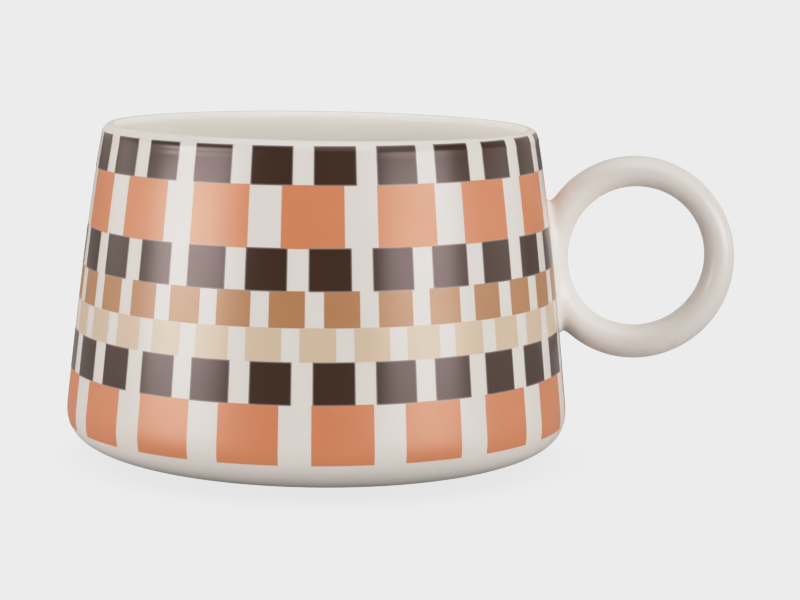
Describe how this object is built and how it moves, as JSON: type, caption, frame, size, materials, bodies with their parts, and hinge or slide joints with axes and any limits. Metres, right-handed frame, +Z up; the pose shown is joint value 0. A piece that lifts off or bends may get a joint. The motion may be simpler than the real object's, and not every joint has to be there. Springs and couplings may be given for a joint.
{
  "type": "stoneware mug",
  "caption": "Wide, low conical stoneware mug with a ring handle, off-white glaze and rows of fired-on colour patches.",
  "frame": {"origin": "under the middle of the outer box, on the plane that the foot ring stands on; the cup's own axis is 18 mm towards -X", "axes": "+Z up, along the cup's axis; +X from the cup towards the ring handle; the ring lies in the XZ plane"},
  "size_m": [0.1452, 0.1094, 0.0724],
  "materials": {
    "glaze": "smooth off-white glaze with a soft shine",
    "print_brown": "dark brown fired-on print, satin",
    "print_terracotta": "terracotta fired-on print, satin",
    "print_tan": "tan fired-on print, satin",
    "print_cream": "cream fired-on print, satin",
    "bare_clay": "bare buff stoneware where the foot ring is wiped clean of glaze"
  },
  "bodies": {
    "root": {"cup_body": "glaze", "ring_handle": "glaze", "handle_slip_joint": "glaze", "dark_squares_row_1": "print_brown", "terracotta_blocks_row_2": "print_terracotta", "dark_squares_row_3": "print_brown", "tan_squares_row_4": "print_tan", "cream_squares_row_5": "print_cream", "dark_squares_row_6": "print_brown", "terracotta_blocks_row_7": "print_terracotta"}
  },
  "joints": []
}
